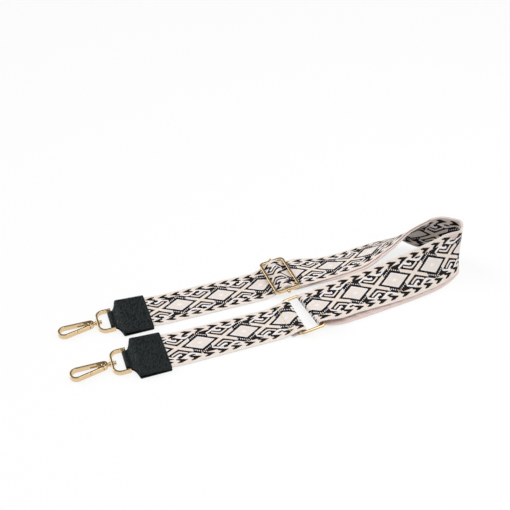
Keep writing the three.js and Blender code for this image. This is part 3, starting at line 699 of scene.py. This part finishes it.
def weave(name, yarns, back=False):
    """Jacquard cloth from six yarns: ground, figure, bright figure, tan, pink and peach. u runs along the
    tape from a cross's middle, v across it from the centre line. The back's borders are plain."""
    ground, figure, bright, tan, pink, peach = yarns
    made, tree, shader = material(name, 0.85)
    flat = node(tree, "UVMap", uv_map="flat")
    split = node(tree, "SeparateXYZ", Vector=flat.outputs["UV"])
    long_way, cross = (Sum(tree, split.outputs[k]) for k in "XY")
    u_all = long_way.step(PICK)
    v_all = cross.step(END)
    u = ((u_all * (1 / REPEAT) + 0.5).part() - 0.5) * REPEAT
    w, v = u.size(), v_all.size()
    rise = (u * u + ROUNDING).do("SQRT") * ARM_SLOPE
    arms = w * ARM_SLOPE
    inside = v < FIELD
    lozenge = (w * -1.0 + REPEAT / 2) * 0.6 + v
    diamond = lozenge < DIAMOND
    cross_arms = (v > arms - 2.1) & (v < arms + 2.35) & (w < 14.7)
    band = (v > rise + 4.7) & (v < rise + 6.8) & u.within(-9.0, 8.5)
    finger = (v > rise + 8.75) & (v < rise + 11.4) & u.within(-7.5, 1.8)
    leg = (v - (u * 0.4625 + 17.94)).size() < 1.1
    leg = leg & u.within(-15.0, -6.5)
    gap = (v > rise + 11.5) & u.within(-8.0, -3.0)
    bow = ((u - 11.0).do("POWER", 2.0) + ROUNDING).do("SQRT") * ARM_SLOPE + 10.8
    bracket = (v > bow - 1.0) & u.within(1.5, 22.0)
    mark = (v - (u * -0.15 + 16.6)).size() < 1.0
    mark = mark & u.within(8.5, 16.5) & (v > bow + 1.15) & (v < 16.0)
    one = ((v - (arms - 0.5)).size() < 0.75) & (w > 14.9)
    other = ((v - (arms * -1.0 + REPEAT * ARM_SLOPE - 0.5)).size() < 0.75) & (w > 21.3)
    dots = (one | other) & ((u_all * (1 / DOT_PITCH)).part() < 0.5) & inside
    dart_at = ((u_all + 5.4) * (1 / DART_PITCH) + 0.5).part() * DART_PITCH - DART_PITCH / 2
    lean = (cross.do("SIGN") * -DART_LINE + v_all).size()
    dart = (lean < (dart_at * -0.37 + 2.6)) & (lean < 3.15) & (dart_at > -5.1)
    dart = dart & (lean > (dart_at * -0.55 - 0.9))
    light = (cross_arms | band | finger | leg | gap | bracket) & inside & mark.flip()
    light = light | (inside.flip() & dart.flip())
    light = light | diamond
    whiter = ((finger | leg | (bracket & (v < bow + 1.15))) & inside) | (diamond & (lozenge > 8.5)) | dots

    layers = [(figure, light), (bright, whiter), (tan, diamond & (lozenge < 8.5)),
              (pink, diamond & (lozenge.within(7.9, 8.5) | lozenge.within(2.9, 3.4))),
              (peach, diamond & lozenge.within(4.8, 6.2)), (bright, diamond & (lozenge < 2.4)),
              (peach, dots & (w > 22.5)), (tan, v > SELVEDGE)]
    if back:
        layers += [(pink, inside.flip()), (tan, inside.flip() & dart & ((long_way * 2.0).part() < 0.25))]
    colour = ground
    for yarn, shown in layers:
        colour = two_tones(tree, shown.socket, colour, yarn)

    # Each yarn is painted darker towards its edges, where it dips under its neighbours: painted shade between
    # the threads, from the same profile that raises the bump. Each yarn cell also has its own random tone,
    # and a broad cloud varies the tone a little.
    cells = node(tree, "CombineXYZ", X=u_all.socket, Y=v_all.socket)
    chance = node(tree, "TexWhiteNoise", noise_dimensions="2D", Vector=cells.outputs[0])
    speck = Sum(tree, chance.outputs["Value"])
    cloud = node(tree, "TexNoise", Vector=flat.outputs["UV"], Scale=0.07, Detail=3.0)
    over_u = (long_way * (math.pi / PICK)).do("SINE").size()
    over_v = (cross * (math.pi / END)).do("SINE").size()
    yarn_relief_and_painted_shade = over_u.do("POWER", 0.6) & over_v.do("POWER", 0.4)
    value = yarn_relief_and_painted_shade * 0.22 + 0.84 + speck * 0.10
    value = value & (Sum(tree, cloud.outputs["Fac"]) * 0.10 + 0.93)
    shaded = two_tones(tree, 1.0, colour, value.socket, blend_type="MULTIPLY")
    link(tree, shaded, shader.inputs["Base Color"])
    fuzz = node(tree, "TexNoise", Vector=flat.outputs["UV"], Scale=9.0, Detail=2.0)
    relief = yarn_relief_and_painted_shade + light * 0.35 + speck * 0.2 + Sum(tree, fuzz.outputs["Fac"]) * 0.3
    bump = node(tree, "Bump", Strength=0.6, Distance=0.00012, Height=relief.socket)
    link(tree, bump.outputs["Normal"], shader.inputs["Normal"])
    shader.inputs["Specular IOR Level"].default_value = 0.06
    return made


black_yarn, cream_yarn, white_yarn = tint(39, 33, 32), tint(243, 230, 220), tint(246, 243, 246)
tan_yarn, pink_yarn, peach_yarn = tint(242, 234, 227), tint(234, 218, 212), tint(243, 226, 209)
face_look = weave("webbing_face", (black_yarn, cream_yarn, white_yarn, tan_yarn, pink_yarn, peach_yarn))
back_look = weave("webbing_back", (tint(222, 206, 196), tint(62, 54, 53), tint(74, 68, 68),
                                   tint(150, 134, 128), tint(238, 217, 210), peach_yarn), back=True)


def curve(points, t):
    """A centripetal curve through points: the place at share t of its spans."""
    last = len(points) - 1
    p = last * min(max(t, 0.0), 1.0)
    i = min(int(p), last - 1)
    w = p - i
    p1, p2 = points[i], points[i + 1]
    p0 = points[i - 1] if i > 0 else 2 * points[0] - points[1]
    p3 = points[i + 2] if i + 2 <= last else 2 * points[last] - points[last - 1]
    d0, d1, d2 = (float(((b - a) @ (b - a)) ** 0.25) for a, b in ((p0, p1), (p1, p2), (p2, p3)))
    # Neighbours may be equal, as the sides are along a straight run.
    d1 = 1.0 if d1 < 1e-4 else d1
    d0 = d1 if d0 < 1e-4 else d0
    d2 = d1 if d2 < 1e-4 else d2
    t1 = ((p1 - p0) / d0 - (p2 - p0) / (d0 + d1) + (p2 - p1) / d1) * d1
    t2 = ((p2 - p1) / d1 - (p3 - p1) / (d1 + d2) + (p3 - p2) / d2) * d1
    return p1 + t1 * w + (-3 * p1 + 3 * p2 - 2 * t1 - t2) * w ** 2 + (2 * p1 - 2 * p2 + t1 + t2) * w ** 3


def stop(x, y, z, side=(0, 1, 0), fold=False, name=None):
    """A place that the tape's middle passes, the way to its edge there, and a mark's name."""
    return {"at": np.array((x, y, z), float), "side": np.array(side, float), "fold": fold, "name": name}


def tape_path(stops, fine=1.6):
    """Frames along a tape: middle, facing and sideways directions, and length so far."""
    places, sides = [s["at"] for s in stops], [s["side"] for s in stops]
    spans = len(stops) - 1
    out, marks = [], {}
    for i in range(spans):
        marks[stops[i]["name"] or i] = len(out)
        folded = stops[i]["fold"] and stops[i + 1]["fold"]
        length = float(np.linalg.norm(places[i + 1] - places[i]))
        count = max(2, round(length / (fine / 2 if folded else fine)))
        for k in range(count + (i == spans - 1)):
            part = k / count
            t = (i + part) / spans
            along = curve(places, t + 0.0001) - curve(places, t - 0.0001)
            along /= np.linalg.norm(along)
            side = (sides[i] * (1 - part) + sides[i + 1] * part
                    if stops[i]["fold"] or stops[i + 1]["fold"] else curve(sides, t))
            face = np.cross(along, side)
            face /= np.linalg.norm(face)
            out.append((curve(places, t), face, np.cross(face, along)))
    marks[stops[-1]["name"]] = len(out) - 1
    middle, face, side = (np.array([o[k] for o in out]) for k in range(3))
    far = np.concatenate(([0], np.cumsum(np.linalg.norm(np.diff(middle, axis=0), axis=1))))
    return middle, face, side, far, marks


face_line = [(HALF - 0.16, 0.5), (HALF - 0.4, 0.66)]
face_line += [(HALF - 1 - 1.5 * i, THICK / 2) for i in range(33)]
face_line += [(0.4 - HALF, 0.66), (0.16 - HALF, 0.5), (-HALF, 0.2)]
tape_section = face_line + [(-HALF, -0.2)] + [(-a, -b) for a, b in face_line[:-1]] + [
    (HALF, -0.2), (HALF, 0.2)]


def tape(name, path, start, end, figure, stands_for):
    """A piece of webbing between two marks, in place of a plain solid. figure holds path lengths, and the
    lengths of the woven figure there."""
    middle, face, side, far, marks = path
    keep = slice(marks[start], marks[end] + 1)
    rows, flat = [], []
    for m, f, s, length in zip(middle[keep], face[keep], side[keep], far[keep]):
        rows.append([m + s * a + f * b + ORIGIN for a, b in tape_section])
        flat += [(np.interp(length, *figure), a) for a, b in tape_section]
    points, faces = loft(rows)
    piece = solid(name, points, faces, face_look, 60, flat)
    piece.data.materials.append(back_look)
    around = len(tape_section)
    under = [i for i, ((a, b), (c, d)) in enumerate(zip(tape_section, tape_section[1:] + tape_section[:1]))
             if b + d < -0.1]
    index = np.zeros(len(piece.data.polygons), int)
    for row in range(len(rows) - 1):
        index[[row * around + j for j in under]] = 1
    piece.data.polygons.foreach_set("material_index", index)
    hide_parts(stands_for)
    return piece


front_y, rear_y = -RUN / 2, RUN / 2
ring_left_z = 0.05 + THICK + 0.6 + RING_ROD / 2
ring_right = RING_LEFT + RING_LENGTH * math.cos(RING_PITCH)
ring_right_z = ring_left_z + RING_LENGTH * math.sin(RING_PITCH)
fold_rise = RING_ROD / 2 + 0.6 + THICK / 2
rail = (SLIDER_LENGTH - SLIDER_RAIL) / 2
rail_x = [SLIDER_X + s * rail * math.cos(SLIDER_PITCH) for s in (-1, 1)]
rail_z = [SLIDER_HEIGHT + s * rail * math.sin(SLIDER_PITCH) for s in (-1, 1)]
under_rail = [z - SLIDER_RAIL_HEIGHT / 2 - 0.4 - THICK / 2 for z in rail_z]
inside_rail = [rail_x[0] + SLIDER_RAIL / 2, rail_x[1] - SLIDER_RAIL / 2]
loop_radius = BAR + CLEARANCE + THICK / 2
hump = loop_radius + LAYER
slot_z = LEATHER + CLEARANCE + THICK / 2
strand_x = rail_x[1] + 13

# The bend, station by station: x as a share of the reach, y of the runs' spacing, the lower edge's lift of
# the width, the lean of upright, the layers between the strands, and how far the inner strand stands out
# past the outer one's edge, as a share of the width.
BEND = [(0.20, -0.468, 0.128, 0.10, 2.5, 0.090), (0.297, -0.433, 0.117, 0.138, 2.0, 0.120),
        (0.47, -0.416, 0.090, 0.23, 1.4, 0.088), (0.623, -0.415, 0.090, 0.379, 1.0, 0.078),
        (0.77, -0.375, 0.100, 0.506, 1.0, 0.080), (0.90, -0.264, 0.080, 0.686, 0.9, 0.055),
        (0.966, -0.157, 0.046, 0.95, 0.9, 0.035), (0.998, 0.095, 0.042, 1.01, 0.9, 0.015),
        (0.939, 0.277, 0.048, 1.04, 1.0, 0), (0.86, 0.413, 0.069, 0.867, 1.0, 0),
        (0.757, 0.486, 0.206, 0.559, 1.0, -0.05), (0.613, 0.473, 0.182, 0.333, 1.0, -0.09),
        (0.463, 0.452, 0.114, 0.164, 1.0, -0.09), (0.301, 0.473, 0.055, 0.113, 1.0, -0.06)]
middles = [np.array((x * REACH, y * RUN, lift * WIDTH + HALF * math.sin(lean * math.pi / 2)))
           for x, y, lift, lean, *_ in BEND]
outer, inner = [], []
for i, (_, _, _, lean, gap, shift) in enumerate(BEND):
    along = middles[min(i + 1, len(BEND) - 1)] - middles[max(i - 1, 0)]
    along /= np.linalg.norm(along)
    inward = np.cross((0, 0, 1), along)
    inward /= np.linalg.norm(inward)
    rise = np.cross(along, inward)
    c, s = math.cos(lean * math.pi / 2), math.sin(lean * math.pi / 2)
    side = inward * c + rise * s
    under = inward * s - rise * c
    outer.append(stop(*middles[i], side))
    inner.append(stop(*(middles[i] + under * gap * LAYER - side * shift * WIDTH), side))
outer[-2]["name"], inner[-2]["name"] = "outer_cut", "inner_cut"


def round_bar(angle, radius):
    """A stop on the way round the slider's bar."""
    return stop(SLIDER_X + radius * math.cos(angle), rear_y, SLIDER_HEIGHT + radius * math.sin(angle),
                (0, -1, 0), True)


def rear(x, z, fold=False, name=None):
    """A stop on the straight rear run."""
    return stop(x, rear_y, z, (0, -1, 0), fold, name)


def ring_fold(x, z, start, end, drift=0.0, slack=0.0, skew=0.0):
    """Stops round one of the ring's rods. drift moves the tape along the rod and skew turns it."""
    radius = fold_rise + slack
    out = []
    for i in range(7):
        a = start + (end - start) * i / 6
        out.append(stop(x + radius * math.cos(a), front_y - drift * i / 6, z + radius * math.sin(a),
                        (skew, 1, 0), True))
    return out


long_path = tape_path([
    rear(strand_x - 0.4, under_rail[1] - LAYER, name="flap_end"),
    rear(inside_rail[1], under_rail[1] - LAYER, True),
    *[round_bar(a * math.pi, loop_radius) for a in (1 / 3, 1 / 2, 3 / 4, 1, 5 / 4, 3 / 2)],
    rear(inside_rail[1], under_rail[1] - 2 * LAYER, True),
    rear(strand_x, under_rail[1] - 2 * LAYER, name="inner_strand"),
    *inner[::-1],
    stop(ring_right + RING_ROD, front_y, ring_right_z - fold_rise - 0.4, fold=True),
    *ring_fold(ring_right - 5, ring_right_z + 0.4, -math.pi / 2, -math.pi * 3 / 2, slack=0.6, skew=-0.09),
    stop(ring_right + RING_ROD, front_y, ring_right_z + fold_rise + 1.0, fold=True, name="over_ring"),
    *outer,
    rear(strand_x, under_rail[1], name="outer_strand"),
    rear(inside_rail[1], under_rail[1], True),
    *[round_bar(a * math.pi, hump) for a in (1 / 3, 1 / 2, 2 / 3)],
    rear(inside_rail[0], under_rail[0], True),
    rear(rail_x[0] - SLIDER_RAIL, under_rail[0] - LAYER, name="free_strand"),
    rear(rail_x[0] - 12, FLOOR + 0.4),
    rear(rail_x[0] - 24, FLOOR),
    rear(rail_x[0] - 48, FLOOR),
    rear(REAR[0] + TAB_LENGTH, FLOOR),
    rear(REAR[0] + TAB_LENGTH / 2, FLOOR),
    rear(REAR[0] - TAB_CORNER, slot_z),
    rear(REAR[0] - 28, slot_z, name="rear_end"),
])
flap_x = RING_LEFT - 13
short_path = tape_path([
    stop(FRONT[0] - 28, front_y, slot_z, name="tab_end"),
    stop(FRONT[0] - TAB_CORNER, front_y, slot_z),
    stop(FRONT[0] + TAB_LENGTH / 2, front_y, FLOOR),
    stop(FRONT[0] + TAB_LENGTH, front_y, FLOOR),
    stop(flap_x - 26, front_y, FLOOR),
    stop(flap_x - 13, front_y, FLOOR),
    stop(flap_x, front_y, FLOOR + LAYER),
    stop(RING_LEFT, front_y, ring_left_z + fold_rise, fold=True, name="over_rod"),
    *ring_fold(RING_LEFT + 4, ring_left_z, math.pi / 2, -math.pi / 2, drift=0.1),
    stop(RING_LEFT - 4, front_y - 0.2, FLOOR, fold=True),
    stop(flap_x, front_y - 1.9, FLOOR, fold=True, name="sewn_end"),
])


def length_at(path, start, end, x):
    """The path length at which a stretch of the tape passes an x."""
    middle, _, _, far, marks = path
    keep = slice(marks[start], marks[end] + 1)
    xs, fars = middle[keep, 0], far[keep]
    order = np.argsort(xs)
    return float(np.interp(x, xs[order], fars[order]))


outer_cross = length_at(long_path, "over_ring", "outer_cut", 26.5) - 1.7 - REPEAT / 2
rear_cross = length_at(long_path, "free_strand", "rear_end", -87.9)
front_cross = length_at(short_path, "tab_end", "over_rod", -83.2)


def turn_of(start, end):
    """The length along the long tape at its farthest place between two marks."""
    middle, _, _, far, marks = long_path
    return float(far[marks[start] + np.argmax(middle[marks[start]:marks[end], 0])])


inner_turn, outer_turn = turn_of("inner_strand", "over_ring"), turn_of("over_ring", "outer_strand")
strand, free, last = (float(long_path[3][long_path[4][mark]])
                      for mark in ("outer_strand", "free_strand", "rear_end"))
over_bar = length_at(long_path, "outer_strand", "free_strand", 2.76)
EASE_IN, EASE_OUT, CLOTH, REAR_CLOTH = -7.7, 17.4, 1.008, 0.985
long_figure = [(at, (at - outer_cross) / CLOTH + ease) for at, ease in (
    (0, EASE_IN), (inner_turn + 10, EASE_IN), (inner_turn + 210, 0), (outer_turn - 6, 0),
    (outer_turn + 77, EASE_OUT), (strand, EASE_OUT))] + [(over_bar, 10 * REPEAT)] + [
    (at, 12 * REPEAT + (at - rear_cross) / REAR_CLOTH) for at in (free, last)]
long_figure = list(zip(*long_figure))
short_figure = ((0, 400), (-front_cross / 0.995, (400 - front_cross) / 0.995))
long_piece, inner_piece, outer_piece, loop_piece, slider_piece, rear_piece = (
    tape(f"{cloth}_cloth", long_path, start, end, long_figure, stands_for)
    for cloth, start, end, stands_for in (
        ("long_webbing", "inner_cut", "outer_cut", "long_webbing"),
        ("inner_strand", "inner_strand", "inner_cut", "inner_strand"),
        ("outer_strand", "outer_cut", "outer_strand", "outer_strand"),
        ("end_loop", "flap_end", "inner_strand", "webbing_end_loop"),
        ("slider", "outer_strand", "free_strand", "slider_webbing"),
        ("rear_webbing", "free_strand", "rear_end", "rear_webbing")))
short_piece = tape("short_webbing_cloth", short_path, "tab_end", "sewn_end", short_figure, "short_webbing")
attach(long_piece, "long_strap")
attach(loop_piece, "slider")
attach(slider_piece, "slider")
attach(short_piece, "front_end")
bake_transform(inner_piece)
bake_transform(outer_piece)
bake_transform(rear_piece)

# Webbing seams: one row of stitches in cream thread across each sewn end. The short tape is sewn back on
# itself beside the ring, and the long one round the slider's bar.
cream_thread = thread("cream_thread", tint(220, 198, 138), tint(238, 220, 168))


def seam(name, path, start, end, x, body):
    """A row of stitches straight across the tape's face at an x."""
    middle, face, side, far, marks = path
    length = length_at(path, start, end, x)
    m, f, s = (np.array([np.interp(length, far, v[:, k]) for k in range(3)]) for v in (middle, face, side))
    line = [m + s * a + f * (THICK / 2) + ORIGIN for a in np.linspace(-23.5, 23.5, 40)]
    carried(stitches(name, line, [f] * len(line), 0.34, cream_thread, 2.6, 0.5, 0.3), body)


seam("short_webbing_seam", short_path, "tab_end", "over_rod", flap_x + 3.8, "front_end")
seam("end_loop_seam", long_path, "flap_end", 1, strand_x - 5.0, "slider")

# Ring: one length of round steel rod, bent to a rectangle with rounded corners, its ends butted and welded,
# then plated pale gold. Both webbings fold round it, each round one of its long sides.
RING_WIDTH, RING_CORNER = WIDTH + RING_ROD + 1.5, 4
ring_middle = Matrix.Translation(Vector(ORIGIN) + Vector(((RING_LEFT + ring_right) / 2, front_y,
                                                          (ring_left_z + ring_right_z) / 2)))
ring_middle = ring_middle @ Matrix.Rotation(-RING_PITCH, 4, "Y")


def placed(matrix, points):
    return [tuple(matrix @ Vector(p)) for p in points]


ring_line = rectangle(RING_LENGTH / 2, RING_WIDTH / 2, RING_CORNER, 14)
ring_points, ring_faces = swept(ring_line, circle(RING_ROD / 2, 28), closed=True)
ring = solid("ring_rod", placed(ring_middle, ring_points), ring_faces, gilt)
carried(ring, "ring", "ring")

# Slider: a flat rectangular frame with soft edges, cast in zinc and plated like the hooks. A round bar is
# riveted across its middle, its heads outside; the doubled webbing is sewn round the bar and runs over it.
SLIDER_WIDTH, SLIDER_CORNER = WIDTH + 2 * (SLIDER_RAIL + 0.65), 4
slider_middle = Matrix.Translation(Vector(ORIGIN) + Vector((SLIDER_X, rear_y, SLIDER_HEIGHT)))
slider_middle = slider_middle @ Matrix.Rotation(-SLIDER_PITCH, 4, "Y")
frame_points, frame_faces = swept(
    rectangle(SLIDER_LENGTH / 2 - SLIDER_RAIL / 2, SLIDER_WIDTH / 2 - SLIDER_RAIL / 2, SLIDER_CORNER, 12),
    rounded_box(SLIDER_RAIL, SLIDER_RAIL_HEIGHT, 0.7, 5), closed=True)
slider = solid("slider_casting", frame_points, frame_faces, gilt)
bore, bore_faces = rod(BAR + CLEARANCE, -40, 40, 32)
carve(slider, ("DIFFERENCE", (crosswise(bore), bore_faces)))
for move in (Matrix.Scale(1000, 4), slider_middle, Matrix.Scale(0.001, 4)):
    slider.data.transform(move)
bar_end, head_start, head_radius = SLIDER_WIDTH / 2 + 3.6, SLIDER_WIDTH / 2 + 1.1, 2.1
half_bar = [(AXIS, bar_end), (0.8, bar_end - 0.08), (1.5, bar_end - 0.4), (1.95, bar_end - 0.9),
            (head_radius, bar_end - 1.3), (1.95, head_start + 0.3), (1.6, head_start),
            (BAR, head_start - 0.1)]
bar_points, bar_faces = turned([(r, -x) for r, x in half_bar] + half_bar[::-1], 40)
bar = solid("slider_pin", placed(slider_middle, crosswise(bar_points)), bar_faces, gilt)
carried(slider, "slider", "slider_frame")
carried(bar, "slider", "slider_bar")
